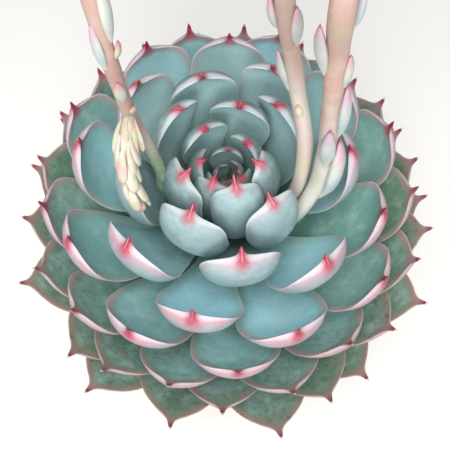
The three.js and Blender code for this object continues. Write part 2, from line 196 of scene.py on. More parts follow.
tip_radius = through([
    (0, 1), (3, 3.4), (7, 5.6), (12, 11.1), (18, 21.5), (25, 35.1),
    (33, 46.8), (42, 54), (52, 59.8), (63, 64.6), (73, 69.6), (83, 74.6),
])
tip_height = through([
    (0, -0.8), (3, 4.3), (7, 10.3), (12, 16.3), (18, 19.2), (25, 15.4),
    (33, 6), (42, -4.3), (52, -13.8), (63, -24.5), (73, -34.6), (83, -45.1),
])
base_slope = through([(0, 84), (8, 72), (20, 50), (40, 26), (60, 10), (83, -6)])
tip_slope = through([
    (0, 112), (4, 114), (7, 126), (12, 127), (17, 113), (20, 106),
    (28, 95), (36, 84), (45, 72), (60, 55), (83, 38),
])
half_width = through([(0, 3), (5, 8.5), (12, 11.6), (21, 12.8), (34, 14.2), (50, 14.8), (83, 15)])
thickness = through([(0, 1), (5, 2.4), (12, 3.8), (20, 5.2), (34, 5.4), (50, 5), (83, 4.4)])
# The outline ends in a narrow point on broad shoulders in the young leaves, and tapers in the old.
young_outline = through([
    (0, 0.3), (0.22, 0.44), (0.45, 0.76), (0.65, 1), (0.78, 0.94), (0.85, 0.77),
    (0.885, 0.49), (0.905, 0.22), (0.925, 0.1), (0.95, 0.055), (0.98, 0.03), (1, 0),
])
old_outline = through([
    (0, 0.3), (0.22, 0.46), (0.45, 0.79), (0.64, 1), (0.76, 0.92), (0.84, 0.67),
    (0.89, 0.38), (0.92, 0.17), (0.945, 0.08), (0.97, 0.045), (0.988, 0.025), (1, 0),
])
swelling = through([
    (0, 0.42), (0.3, 0.72), (0.6, 1), (0.8, 0.86), (0.91, 0.42), (0.94, 0.2), (0.97, 0.1), (1, 0),
])

# Leaves pushed off the rule: turn and bend in degrees, inward in millimetres, length and width as
# shares.
PUSHED = {
    0: {"width": 1.5},
    1: {"turn": -8, "width": 1.8},
    2: {"turn": 8, "width": 1.8},
    3: {"width": 1.2},
    4: {"bend": -13},
    8: {"turn": -12, "bend": -8, "inward": 0.8, "width": 0.84},
    10: {"bend": -8, "inward": 2, "width": 0.74},
    13: {"turn": -11, "bend": -2, "inward": 4.8, "width": 0.79},
    14: {"bend": -26},
    15: {"bend": 24},
    18: {"turn": -20, "bend": -3, "inward": 5, "width": 0.78},
    20: {"bend": 7},
    23: {"length": 0.95},
    31: {"length": 0.93},
    63: {"length": 0.96},
    66: {"bend": 8},
    68: {"bend": -5},
    71: {"bend": 6},
    78: {"length": 0.97},
    79: {"length": 0.97},
    81: {"bend": -5, "length": 0.91},
}
UNPUSHED = {"turn": 0, "bend": 0, "inward": 0, "length": 1, "width": 1}

# Fine relief of a leaf: the hollow of its upper face and the rounding of its edge, as shares of its
# thickness, and the keel under its tip, in millimetres.
HOLLOW = 0.17
EDGE_ROUNDING = 0.17
KEEL = 0.35
KEEL_WIDTH = 0.22
# Waves of a leaf's outline: height as a share of the width, rate along the leaf and shift by leaf.
WAVES = ((0.018, 9, 2.1), (0.012, 21, 1.3))
# How green the leaves at the sides are, and how much the green varies from leaf to leaf.
SIDE_GREEN = 0.8
GREEN_VARIES = 0.12


def base_radius(n):
    return STEM_TIP_RADIUS + (STEM_RADIUS - STEM_TIP_RADIUS) * (1 - math.exp(-n / LEAVES_TO_WIDEN))


def base_height(n):
    return HEART_HEIGHT - FIRST_LEAF_BELOW - LEAF_SPACING * n


def midline(n, inward, root_depth):
    """The points and directions along the middle of a leaf's upper face, by share of its length."""
    low, high = math.radians(base_slope(n)), math.radians(tip_slope(n))
    base = np.array([base_radius(n), base_height(n)])
    tip = np.array([tip_radius(n) - inward, HEART_HEIGHT + tip_height(n)])
    reach = np.linalg.norm(tip - base)
    out = np.array([math.cos(low), math.sin(low)])
    up = np.array([math.cos(high), math.sin(high)])
    a, b = base - root_depth * out, base + BASE_PULL * reach * out
    c, d = tip - TIP_PULL * reach * up, tip

    def curve(u):
        return a * (1 - u) ** 3 + 3 * b * u * (1 - u) ** 2 + 3 * c * u * u * (1 - u) + d * u ** 3

    t = np.linspace(0, 1, 201)[:, None]
    steps = lengths_along(curve(t))

    def at(share):
        u = np.interp(share * steps[-1], steps, t[:, 0])[..., None]
        way = (b - a) * (1 - u) ** 2 + 2 * (c - b) * u * (1 - u) + (d - c) * u * u
        return curve(u), way / np.linalg.norm(way, axis=-1, keepdims=True)

    return at, steps[-1]


# The rings of a leaf's skin, closest in its point, and the places across them, closest at the edge.
LEAF_ALONG = np.concatenate([np.linspace(0, 0.84, 27), np.linspace(0.86, 0.99, 18), [0.996]])
HALF_ACROSS = 1 - (1 - np.linspace(0, 1, 13)) ** 1.7
LEAF_ACROSS = np.concatenate([-HALF_ACROSS[:0:-1], HALF_ACROSS])


def leaf_half_width(n, along, share):
    old = smooth(32, 64, n)
    wide = half_width(n) * share * (young_outline(along) * (1 - old) + old_outline(along) * old)
    wave = sum(height * np.sin(rate * along + shift * n) for height, rate, shift in WAVES)
    return wide * (1 + wave * smooth(0.3, 0.6, along) * (1 - smooth(0.86, 0.93, along)))


def leaf_sink(n, along, across, below):
    """How deep the skin lies under the midline, on the upper face or on the back."""
    thick = thickness(n) * swelling(along)
    blunt = 1 - smooth(17, 30, n)
    hollow = (1 - across ** 2) ** 1.5 * smooth(0.1, 0.5, along) * (1 - smooth(0.88, 0.97, along))
    rounding = np.abs(across) ** 9 * smooth(0.2, 0.5, along) * (0.4 + 0.6 * blunt)
    upper = thick * (HOLLOW * hollow + EDGE_ROUNDING * rounding)
    keel = np.exp(-(across / KEEL_WIDTH) ** 2) * smooth(0.74, 0.93, along) * (1 - along) ** 0.3
    lower = thick * np.maximum(0, 1 - np.abs(across) ** (2.3 + 0.5 * blunt)) ** (0.85 - 0.27 * blunt)
    lower = lower + KEEL * keel
    return np.where(below, np.maximum(lower, upper + 0.4 * lower), upper)


def leaf_mesh(n, root_depth=0):
    push = {**UNPUSHED, **PUSHED.get(n, {})}
    line, full = midline(n, push["inward"], root_depth)
    across = np.concatenate([LEAF_ACROSS, LEAF_ACROSS[-2:0:-1]])[None, :]
    depth = np.concatenate([np.zeros(len(LEAF_ACROSS)), np.ones(len(LEAF_ACROSS) - 2)])[None, :]
    along = np.append(LEAF_ALONG, 1.0)[:, None]
    point, way = line(along[:, 0] * push["length"])
    wide = leaf_half_width(n, along, push["width"])
    arc = wide / np.maximum(point[:, :1], 0.5)
    wrap = MOST_WRAP * (1 - np.exp(-arc / MOST_WRAP))
    sink = leaf_sink(n, along, across, depth > 0)
    turn = math.radians(FIRST_AZIMUTH - DIVERGENCE * n)
    angle = turn + np.radians(push["turn"] + push["bend"] * along ** 2) + across * wrap
    r = point[:, :1] + way[:, 1:] * sink
    z = point[:, 1:] - way[:, :1] * sink
    places = np.stack([r * np.cos(angle), r * np.sin(angle), z + 0 * angle], -1)
    # What the material reads: place holds the share of the length, the age and 1 on the back; reach
    # the millimetres to the edge, to the tip and to the middle; tone the green, and 1 behind the heart,
    # where light and shade are painted on.
    slope = np.gradient(wide[:, 0], along[:, 0] * full)[:, None]
    edge = (1 - np.abs(across)) * wide / np.sqrt(1 + slope ** 2)
    tip = (1 - along) * full * push["length"] + 0 * across
    place = np.stack([along + 0 * across, np.full_like(edge, n / LEAF_COUNT), depth + 0 * along], -1)
    reach = np.stack([edge, tip, np.abs(across) * wide], -1)
    green = SIDE_GREEN * abs(math.cos(turn)) ** 1.5 * float(smooth(19, 30, n))
    green += GREEN_VARIES * math.sin(5.3 * n)
    # Painted light and shade: 1 on the leaves behind the heart, whose faces are painted lighter and backs
    # darker.
    painted_light_behind_heart = float(smooth(0.1, 0.8, math.sin(turn)) * (1 - smooth(24, 34, n)))
    tone = np.stack([np.full_like(edge, green), np.full_like(edge, painted_light_behind_heart), edge * 0], -1)
    rings, size = len(LEAF_ALONG), across.shape[1]
    keep = rings * size
    middle = len(LEAF_ACROSS) // 2

    def flat(values):
        return np.concatenate([values[:-1].reshape(keep, 3), values[-1, middle][None]])

    faces = ring_faces(rings, size)
    values = {"place": flat(place), "reach": flat(reach), "tone": flat(tone)}
    return make_mesh(f"leaf {n}", flat(places), faces, values)


# Materials
def linear(red, green, blue):
    """A colour given as it looks on a screen, 0 to 255, as the shader's linear values."""
    def one(value):
        value /= 255
        return value / 12.92 if value <= 0.04045 else ((value + 0.055) / 1.055) ** 2.4
    return one(red), one(green), one(blue), 1.0


# The colour sockets of a mix node, which has more for its other kinds of value.
MIX_A, MIX_B, MIX_RESULT = 6, 7, 2


class Nodes:
    """A short way to write a material's nodes."""

    def __init__(self, name, roughness, specular):
        self.material = bpy.data.materials.new(name)
        self.material.use_nodes = True
        self.tree = self.material.node_tree
        self.shader = self.tree.nodes["Principled BSDF"]
        self.shader.inputs["Roughness"].default_value = roughness
        self.shader.inputs["Specular IOR Level"].default_value = specular

    def put(self, socket, value):
        if isinstance(value, bpy.types.NodeSocket):
            self.tree.links.new(value, socket)
        else:
            socket.default_value = value

    def node(self, kind, **inputs):
        node = self.tree.nodes.new("ShaderNode" + kind)
        for name, value in inputs.items():
            self.put(node.inputs[name], value)
        return node

    def attribute(self, name):
        node = self.node("Attribute")
        node.attribute_name = name
        return self.split(node.outputs["Vector"])

    def split(self, vector):
        return self.node("SeparateXYZ", Vector=vector).outputs

    def position(self):
        return self.node("TexCoord").outputs["Object"]

    def math(self, operation, a, b):
        node = self.node("Math")
        node.operation = operation
        self.put(node.inputs[0], a)
        self.put(node.inputs[1], b)
        return node.outputs[0]

    def times(self, first, *others):
        for other in others:
            first = self.math("MULTIPLY", first, other)
        return first

    def fade(self, value, low, high, start=0, end=1):
        """From start at low to end at high, smooth between them, where low may be the larger one."""
        if low > high:
            low, high, start, end = high, low, end, start
        limits = {"From Min": low, "From Max": high, "To Min": start, "To Max": end}
        node = self.node("MapRange", Value=value, **limits)
        node.interpolation_type = "SMOOTHSTEP"
        return node.outputs["Result"]

    def mix(self, share, a, b):
        """Two colours mixed. Each is a socket, or given as it looks on a screen."""
        node = self.node("Mix")
        node.data_type = "RGBA"
        self.put(node.inputs[0], share)
        for socket, colour in ((MIX_A, a), (MIX_B, b)):
            self.put(node.inputs[socket], linear(*colour) if isinstance(colour, tuple) else colour)
        return node.outputs[MIX_RESULT]

    def over(self, body, colour, *shares):
        """A colour laid over another by the product of the shares."""
        return self.mix(self.times(*shares), body, colour)

    def noise(self, scale, detail=3, vector=None, roughness=0.5):
        vector = vector or self.position()
        node = self.node("TexNoise", Vector=vector, Scale=scale, Detail=detail, Roughness=roughness)
        return node.outputs["Fac"]

    def patches(self, scale, low, high, detail=3, roughness=0.5):
        """Soft patches: 0 where a noise is below low, and 1 where it is above high."""
        return self.fade(self.noise(scale, detail, roughness=roughness), low, high)

    def cells(self, scale):
        node = self.node("TexVoronoi", Vector=self.position(), Scale=scale)
        return node.outputs["Distance"], node.outputs["Color"]

    def stretched(self, *scale):
        return self.node("Mapping", Vector=self.position(), Scale=scale).outputs[0]

    def bump(self, height, strength, distance=0.0002):
        node = self.node("Bump", Height=height, Strength=strength, Distance=distance)
        self.put(self.shader.inputs["Normal"], node.outputs[0])

    def finish(self, colour):
        self.put(self.shader.inputs["Base Color"], colour)
        return self.material


def leaf_skin(n, age, depth, green, painted_light_behind_heart):
    """The upper face, blue-green in the middle leaves and grey-green in the lowest, and its back."""
    # Painted shade: the youngest leaves of the heart are painted darker, on the face and on the back, for
    # the shade deep in the heart.
    upper = n.mix(n.fade(age, 0.02, 0.2), (148, 166, 162), (152, 185, 189))
    upper = n.over(upper, (172, 226, 239), n.fade(age, 0.24, 0.34))
    upper = n.over(upper, (104, 150, 137), n.fade(green, 0, 1))
    upper = n.over(upper, (134, 175, 174), n.fade(age, 0.34, 0.54, 0, 0.85))
    upper = n.over(upper, (118, 144, 134), n.fade(age, 0.54, 0.8))
    upper = n.over(upper, (92, 120, 90), green, n.fade(age, 0.4, 0.52))
    lower = n.mix(n.fade(age, 0.04, 0.2), (92, 117, 116), (139, 161, 164))
    lower = n.over(lower, (136, 160, 160), n.fade(age, 0.24, 0.36))
    lower = n.over(lower, (126, 148, 136), n.fade(age, 0.4, 0.8))
    # Painted light and shade: the leaves behind the heart get painted lighter faces and greyer, darker
    # backs for how the light falls on them.
    upper = n.over(upper, (166, 202, 202), painted_light_behind_heart)
    lower = n.over(lower, (98, 120, 122), painted_light_behind_heart)
    return n.mix(depth, upper, lower)


def leaf_mottling(n, body, along, age, depth, edge):
    """Greener towards the base, patchy where the powdery bloom is thin, mostly on older leaves."""
    body = n.over(body, (84, 120, 98), n.fade(along, 0.62, 0.15, 0, 0.6))
    thin = n.patches(80, 0.44, 0.64, 4, roughness=0.6)
    body = n.over(body, (84, 112, 82), thin, n.fade(age, 0.35, 0.75, 0.12, 0.6))
    olive = n.patches(230, 0.52, 0.66, 4, roughness=0.6)
    body = n.over(body, (100, 106, 78), olive, n.fade(age, 0.45, 0.8, 0, 0.5))
    rosy = n.times(n.patches(60, 0.42, 0.66), n.fade(edge, 8, 1))
    body = n.over(body, (160, 134, 124), rosy, n.fade(age, 0.45, 0.8, 0, 0.4))
    flecks = n.patches(560, 0.5, 0.62, 5, roughness=0.7)
    body = n.over(body, (70, 92, 74), flecks, n.fade(age, 0.35, 0.8, 0.05, 0.5))
    powder = n.patches(170, 0.42, 0.7, 5, roughness=0.66)
    body = n.over(body, (190, 216, 216), powder, 0.3)
    grains = n.patches(1400, 0.4, 0.62, roughness=0.7)
    body = n.over(body, (84, 116, 116), grains, 0.09)
    # Green shade just inside the rim, from the middle leaves on.
    halo = n.times(n.fade(edge, 4.5, 1.5), n.fade(age, 0.24, 0.5, 0.1, 0.55))
    return n.over(body, (112, 144, 116), halo, n.math("SUBTRACT", 1, depth))


def leaf_rim(n, body, along, age, ragged_edge, mottled):
    """Pink rim, wider towards the tip and on older leaves, ragged on its inner side."""
    width = n.times(n.fade(along, 0.4, 0.9, 0.4, 1.1), n.fade(age, 0.14, 0.5, 0.2, 1))
    inside = n.math("SUBTRACT", ragged_edge, width)
    rim = n.times(n.fade(inside, 2.3, -0.6), n.fade(along, 0.45, 0.8, 0.1, 1))
    rim = n.times(rim, n.fade(age, 0.15, 0.36, 0.15, 0.9), mottled)
    pink = n.mix(n.fade(age, 0.35, 0.8), (186, 146, 156), (158, 116, 114))
    return n.mix(rim, body, pink)


def leaf_blush(n, body, age, depth, far, mottled):
    """Blush under the tip on the back, small in the heart and broad on the older leaves."""
    spread = n.fade(age, 0.12, 0.4, 5, 15)
    blush = n.times(n.fade(n.math("DIVIDE", far, spread), 1, 0.25), depth, mottled)
    return n.over(body, (172, 128, 142), blush, n.fade(age, 0.1, 0.3, 0.3, 0.88))


def leaf_flame(n, body, age, depth, side, far):
    """The red point and the glow round it."""
    flame = n.math("ADD", far, n.times(side, 0.25))
    glow = n.times(n.fade(flame, 7.2, 2.8), n.fade(depth, 0, 1, 0.4, 0.6))
    glow = n.times(glow, n.fade(age, 0, 0.08, 0.4, 1))
    body = n.over(body, (198, 104, 124), glow)
    crimson = n.fade(n.math("ADD", flame, n.times(side, 0.35)), 5.2, 2.7)
    # The red widens from the tip down on to the leaf.
    flare = n.fade(n.math("SUBTRACT", side, n.times(far, 0.3)), 1, -0.5)
    crimson = n.math("MAXIMUM", crimson, n.times(flare, n.fade(far, 7.5, 3, 0, 0.8)))
    grain = n.fade(n.noise(420, 4), 0.35, 0.6, 0.75, 1)
    red = n.mix(n.fade(age, 0.4, 0.7), (156, 30, 56), (128, 46, 64))
    red = n.over(red, (112, 52, 66), n.fade(age, 0.06, 0.02))
    return n.mix(n.times(crimson, grain), body, red)


def leaf_lines(n, body, age, depth, edge, tip, side):
    """Painted highlight down the keel, dark end of the point, painted highlight as a fine pale line round
    the edge, and dry ends when old.
    """
    # Painted highlight: a pale pink stripe down the keel under the tip of the younger leaves.
    keel = n.times(n.fade(side, 0.2, 0.05), depth, n.fade(tip, 5, 3.5), n.fade(age, 0.06, 0.2, 0.4, 1))
    body = n.over(body, (240, 186, 192), keel, n.fade(age, 0.3, 0.42, 0.4, 0))
    dark = n.times(n.fade(tip, 1.1, 0.3), n.fade(age, 0.5, 0.4))
    body = n.over(body, (96, 20, 38), dark, 0.8)
    # Painted highlight: a fine pale line along the edge of each leaf.
    line = n.times(n.fade(edge, 0.55, 0.1), n.fade(tip, 2, 5))
    body = n.over(body, (202, 212, 214), line, n.fade(age, 0.35, 0.6, 0.45, 0.25))
    dry = n.times(n.fade(tip, 1.5, 0.9), n.fade(age, 0.5, 0.6))
    return n.over(body, (214, 200, 188), dry)


def leaf_specks(n, body, age):
    """Dark specks on the older leaves, in two sizes."""
    for scale, rarity, colour in ((210, 0.55, (62, 72, 56)), (370, 0.62, (104, 66, 60))):
        near, tint = n.cells(scale)
        chosen = n.times(n.math("GREATER_THAN", tint, rarity), n.patches(60, 0.4, 0.6, 2))
        speck = n.times(n.fade(near, 0.26, 0.1), chosen, n.fade(age, 0.38, 0.8))
        body = n.over(body, colour, speck, 0.6)
    return body


def leaf_material():
    n = Nodes("leaf", 0.6, 0.22)
    n.shader.inputs["Sheen Weight"].default_value = 0.05
    n.shader.inputs["Sheen Roughness"].default_value = 0.45
    n.shader.inputs["Sheen Tint"].default_value = (0.86, 0.95, 1, 1)
    along, age, depth = n.attribute("place")
    edge, tip, side = n.attribute("reach")
    green, painted_light_behind_heart, _ = n.attribute("tone")
    mottled = n.fade(n.noise(330, 4, roughness=0.6), 0.34, 0.62, 0.45, 1)
    ragged = n.times(n.math("SUBTRACT", n.noise(240, 4), 0.5), 1.6)
    # How far from the tip, counted in shares of the size that the red has on a leaf of this age.
    size = n.times(n.fade(age, 0, 0.16, 0.4, 1), n.fade(age, 0.22, 0.3, 1, 1.3))
    size = n.times(size, n.fade(age, 0.42, 0.62, 1, 0.5))
    far = n.math("DIVIDE", n.math("ADD", tip, n.times(side, 0.45)), size)
    far = n.math("ADD", far, n.times(ragged, 0.8))
    body = leaf_skin(n, age, depth, green, painted_light_behind_heart)
    body = leaf_mottling(n, body, along, age, depth, edge)
    body = leaf_rim(n, body, along, age, n.math("ADD", edge, ragged), mottled)
    body = leaf_blush(n, body, age, depth, far, mottled)
    body = leaf_flame(n, body, age, depth, side, far)
    body = leaf_lines(n, body, age, depth, edge, tip, side)
    body = leaf_specks(n, body, age)
    n.bump(n.noise(900), 0.12)
    return n.finish(body)


LEAF = leaf_material()


def leaf_slot(n):
    if n < HEART_LEAVES:
        return "heart_leaves", "heart"
    if n >= FIRST_LEAF_ON_STEM:
        return "stem_and_lowest_leaves", "stem"
    if n < FIRST_MIDDLE_LEAF:
        return "inner_leaf", f"leaf_{n}"
    return "middle_leaf" if n < FIRST_OUTER_LEAF else "outer_leaf", f"leaf_{n}"


for n in range(LEAF_COUNT):
    slot, node = leaf_slot(n)
    add_piece(f"grown_leaf_{n}", leaf_mesh(n, SUNK_ROOT if node == "stem" else 0), LEAF, node)


# Pot: a tapered wall with a thicker collar, a flat floor and drain holes round its middle.
POT_HEIGHT = 88
POT_TOP_RADIUS = 52
POT_FOOT_RADIUS = 36
POT_WALL = 4.5
POT_FLOOR = 6
COLLAR_HEIGHT = 17
COLLAR_STEP = 2.6
DRAIN_RADIUS = 4.5
DRAIN_CIRCLE = 19
DRAIN_COUNT = 3
CUTTER_HEIGHT = 20
POT_ROUNDING = 3.2
POT_SIDES = 160


def wall_radius(z):
    return POT_FOOT_RADIUS + (POT_TOP_RADIUS - COLLAR_STEP - POT_FOOT_RADIUS) * z / POT_HEIGHT


def inner_radius(z):
    return wall_radius(z) - POT_WALL


def rounded(profile, radius, steps=5):
    """The profile with its corners rounded off, where there is room."""
    points = [np.array(p, float) for p in profile]
    line = [points[0]]
    for before, corner, after in zip(points, points[1:], points[2:]):
        back, ahead = before - corner, after - corner
        near = min(radius, np.linalg.norm(back) * 0.45, np.linalg.norm(ahead) * 0.45)
        a, b = corner + back / np.linalg.norm(back) * near, corner + ahead / np.linalg.norm(ahead) * near
        for t in np.linspace(0, 1, steps):
            line.append(a * (1 - t) ** 2 + 2 * corner * t * (1 - t) + b * t * t)
    return line + [points[-1]]


def turned(name, rings, sides):
    """A closed body of revolution. Its rings, radius and height, run anticlockwise from the axis
    back to the axis. A height may be a function of x and y."""
    angles = circle(sides)
    points = [(0, 0, rings[0][1])]
    for radius, height in rings[1:-1]:
        x, y = radius * np.cos(angles), radius * np.sin(angles)
        points += list(zip(x, y, height(x, y) if callable(height) else np.full(sides, height)))
    points.append((0, 0, rings[-1][1]))
    faces = []
    count = len(rings) - 2
    last = 1 + (count - 1) * sides
    for j in range(sides):
        k = (j + 1) % sides
        faces.append((0, 1 + k, 1 + j))
        faces.append((last + j, last + k, last + sides))
        for i in range(count - 1):
            a, b = 1 + i * sides + j, 1 + i * sides + k
            faces.append((a, b, b + sides, a + sides))
    return make_mesh(name, points, faces)


def pot_mesh():
    collar_foot = POT_HEIGHT - COLLAR_HEIGHT
    collar_radius = wall_radius(collar_foot)
    rim_inside = inner_radius(POT_HEIGHT)
    profile = rounded([
        (0, 0),
        (POT_FOOT_RADIUS - 0.6, 0),
        *((wall_radius(z), z) for z in np.linspace(3, collar_foot - 2, 12)),
        (collar_radius, collar_foot),
        (collar_radius + COLLAR_STEP, collar_foot + 1.2),
        (POT_TOP_RADIUS, POT_HEIGHT - 1.6),
        (POT_TOP_RADIUS - 0.9, POT_HEIGHT),
        (rim_inside + 0.8, POT_HEIGHT),
        (rim_inside - 0.1, POT_HEIGHT - 1.4),
        (inner_radius(POT_FLOOR), POT_FLOOR),
        (0, POT_FLOOR),
    ], POT_ROUNDING)
    return turned("pot", profile, POT_SIDES)


def bore(piece):
    """Cut the drain holes through the pot's floor."""
    cutters = []
    for angle in circle(DRAIN_COUNT):
        place = MM * Vector((DRAIN_CIRCLE * math.cos(angle), DRAIN_CIRCLE * math.sin(angle), POT_FLOOR / 2))
        bpy.ops.mesh.primitive_cylinder_add(
            vertices=48, radius=DRAIN_RADIUS * MM, depth=CUTTER_HEIGHT * MM, location=place)
        cutters.append(bpy.context.object)
    for cutter in cutters:
        cut = piece.modifiers.new("drain", "BOOLEAN")
        cut.object = cutter
        cut.operation = "DIFFERENCE"
        cut.solver = "EXACT"
    seen = piece.evaluated_get(bpy.context.evaluated_depsgraph_get())
    mesh = bpy.data.meshes.new_from_object(seen)
    piece.modifiers.clear()
    piece.data = mesh
    for cutter in cutters:
        bpy.data.objects.remove(cutter)
    mesh.shade_smooth()
    mesh.set_sharp_from_angle(angle=math.radians(50))


def clay_material():
    n = Nodes("clay", 0.88, 0.25)
    height = n.split(n.position())[2]
    body = n.mix(n.patches(28, 0.35, 0.7, 4), (176, 98, 68), (192, 116, 84))
    body = n.over(body, (150, 80, 56), n.patches(420, 0.45, 0.75), 0.35)
    # Faint turning marks, and chalky salts from the watering, thickest near the foot and the rim.
    rings = n.noise(60, 2, vector=n.stretched(0.25, 0.25, 14))
    body = n.over(body, (206, 140, 108), n.fade(rings, 0.5, 0.62), 0.18)
    chalk = n.math("MAXIMUM", n.fade(height, 0.03, 0.004), n.fade(height, 0.066, 0.084))
    chalk = n.times(chalk, n.patches(55, 0.44, 0.62, 5, roughness=0.65))
    body = n.over(body, (222, 200, 184), chalk, 0.6)
    grain = n.math("ADD", n.noise(1400), n.times(rings, 1.5))
    n.bump(grain, 0.35)
    return n.finish(body)


pot = add_piece("clay_pot", pot_mesh(), clay_material(), "pot")
bore(pot)

# Soil: a gritty mound with loose grains pressed into it.
SOIL_BELOW_RIM = 9
SOIL_MOUND = 3
STEM_FOOT_RADIUS = 8.5
STEM_DEPTH = 27
GAP = 0.3
CORNER = 3.6
SOIL_EDGE = POT_HEIGHT - SOIL_BELOW_RIM
SOIL_TOP = SOIL_EDGE + SOIL_MOUND
SOIL_RADIUS = inner_radius(SOIL_EDGE) - GAP
HOLE_RADIUS = STEM_FOOT_RADIUS + GAP
SOIL_SIDES = 180
MOUND_RINGS = 46
# How many, their smallest and largest size, and how finely each is divided.
PEBBLES = (520, 0.7, 2.2, 2)
GRAINS = (3600, 0.3, 0.8, 1)
GRAINS_FROM_WALL = 1.2
GRAIN_DENTS = 0.16
GRAIN_LIFT = 0.2
SEED = 11
chance = np.random.default_rng(SEED)


def mound(x, y):
    share = np.hypot(x, y) / SOIL_RADIUS
    lump = 0.55 * np.sin(0.55 * x + 1.3) * np.cos(0.49 * y) + 0.35 * np.sin(0.31 * (x + y))
    fine = 0.22 * np.sin(2.1 * x + 0.7 * y) * np.sin(1.7 * y - 0.9 * x)
    fine = fine + 0.14 * np.sin(4.3 * x) * np.cos(3.9 * y)
    return SOIL_EDGE + SOIL_MOUND * (1 - share ** 2) + (lump + fine) * smooth(1, 0.93, share) - 0.25


def soil_mesh():
    foot = POT_FLOOR + GAP
    hole_floor = SOIL_TOP - STEM_DEPTH
    rings = [(0, foot), (inner_radius(POT_FLOOR) - GAP - CORNER, foot)]
    rings += [(inner_radius(z) - GAP, z) for z in (foot + CORNER, 20, 40, 60)]
    rings.append((SOIL_RADIUS, SOIL_EDGE - 0.6))
    rings += [(radius, mound) for radius in np.linspace(SOIL_RADIUS - 0.3, HOLE_RADIUS + 0.4, MOUND_RINGS)]
    rings += [(HOLE_RADIUS, mound), (HOLE_RADIUS, hole_floor), (0, hole_floor)]
    return turned("soil", rings, SOIL_SIDES)


def ball(detail):
    made = bmesh.new()
    bmesh.ops.create_icosphere(made, subdivisions=detail, radius=1)
    points = np.array([v.co[:] for v in made.verts])
    faces = np.array([[v.index for v in f.verts] for f in made.faces])
    made.free()
    return points, faces


def grains_mesh(count, smallest, largest, detail):
    """Rough pebbles lying in the mound, each a turned, squashed and dented ball."""
    shape, corners = ball(detail)
    points, faces, tints = [], [], []
    inner, outer = HOLE_RADIUS + GRAINS_FROM_WALL, SOIL_RADIUS - GRAINS_FROM_WALL
    for i in range(count):
        size = smallest + (largest - smallest) * chance.random() ** 2.5
        r = math.sqrt(chance.uniform((inner + size) ** 2, (outer - size) ** 2))
        angle = chance.uniform(0, 2 * math.pi)
        x, y = r * math.cos(angle), r * math.sin(angle)
        bump = 1 + GRAIN_DENTS * np.sin(shape @ chance.normal(0, 2.2, 3) + chance.uniform(0, 6))
        squash = chance.uniform(0.6, 1, 3) * size
        turn, _ = np.linalg.qr(chance.normal(size=(3, 3)))
        turn[:, 0] *= np.linalg.det(turn)
        body = (shape * bump[:, None] * squash) @ turn.T
        points.append(body + [x, y, float(mound(x, y)) + GRAIN_LIFT * size])
        faces.append(corners + i * len(shape))
        tints.append(np.tile([chance.random(), chance.random(), size], (len(shape), 1)))
    values = {"place": np.concatenate(tints)}
    return make_mesh("grains", np.concatenate(points), np.concatenate(faces).tolist(), values)


def soil_material():
    n = Nodes("soil", 0.95, 0.15)
    crumbs = n.patches(300, 0.35, 0.65, 5, roughness=0.65)
    body = n.mix(crumbs, (44, 34, 28), (84, 66, 52))
    clods = n.fade(n.cells(900)[0], 0.3, 0.1)
    body = n.over(body, (122, 104, 84), clods, 0.4)
    n.bump(n.noise(1100, 4), 0.8, 0.0005)
    return n.finish(body)


def grit_material():
    n = Nodes("grit", 0.85, 0.3)
    shade, kind, _ = n.attribute("place")
    body = n.mix(n.fade(shade, 0.1, 0.9), (92, 74, 58), (168, 150, 126))
    body = n.over(body, (212, 204, 190), n.fade(kind, 0.72, 0.76))
    body = n.over(body, (74, 54, 44), n.fade(kind, 0.2, 0.16))
    body = n.over(body, (58, 46, 38), n.patches(1500, 0.4, 0.7), 0.4)
    n.bump(n.noise(2600), 0.5)
    return n.finish(body)


add_piece("soil_mound", soil_mesh(), soil_material(), "soil")
GRIT = grit_material()
add_piece("soil_pebbles", grains_mesh(*PEBBLES), GRIT, "soil")
add_piece("soil_grains", grains_mesh(*GRAINS), GRIT, "soil")


# Stem: it widens at each leaf seat and is dry and scarred below the living leaves.
STEM_SIDES = 72
STEM_RINGS = 90
STEM_BEVEL = 1.4
SCAR_SPACING = 3.4
SCAR_DEPTH = 0.25
# How far the green neck reaches below the lowest leaf.
NECK_BELOW = 7
# Leaves whose seats give the radius of the stem and of the growing point.
SEATS = (80, 60, 45, 33, 24, 18, 14, 11)
HEART_SEATS = (11, 8, 6, 4, 2, 1)
HEART_SIDES = 40
HEART_FOOT = (base_height(HEART_LEAVES - 1) + base_height(HEART_LEAVES)) / 2


def stem_mesh():
    foot = SOIL_TOP - STEM_DEPTH + GAP
    body = np.linspace(foot + 3, HEART_FOOT - GAP, STEM_RINGS)
    heights = np.concatenate([[foot, foot + 0.6, foot + 2], body])
    neck = base_height(LEAF_COUNT) - NECK_BELOW
    living = through([(base_height(n), base_radius(n) - 0.35) for n in SEATS])
    points = []
    angles = -circle(STEM_SIDES)
    for i, z in enumerate(heights):
        radius = float(living(z)) if z > neck else STEM_FOOT_RADIUS
        radius = np.full(STEM_SIDES, radius) - (STEM_BEVEL if i == 0 else 0)
        if foot + 2 < z < neck + 6:
            # Scars of fallen leaves: low ridges that follow the leaf spiral.
            ridges = np.cos(2 * math.pi * z / SCAR_SPACING + 3 * angles) * np.cos(5 * angles)
            radius = radius + SCAR_DEPTH * (ridges - 1)
        points += list(zip(radius * np.cos(angles), radius * np.sin(angles), np.full(STEM_SIDES, z)))
    return make_mesh("stem", points, ring_faces(len(heights), STEM_SIDES, pointed=False))


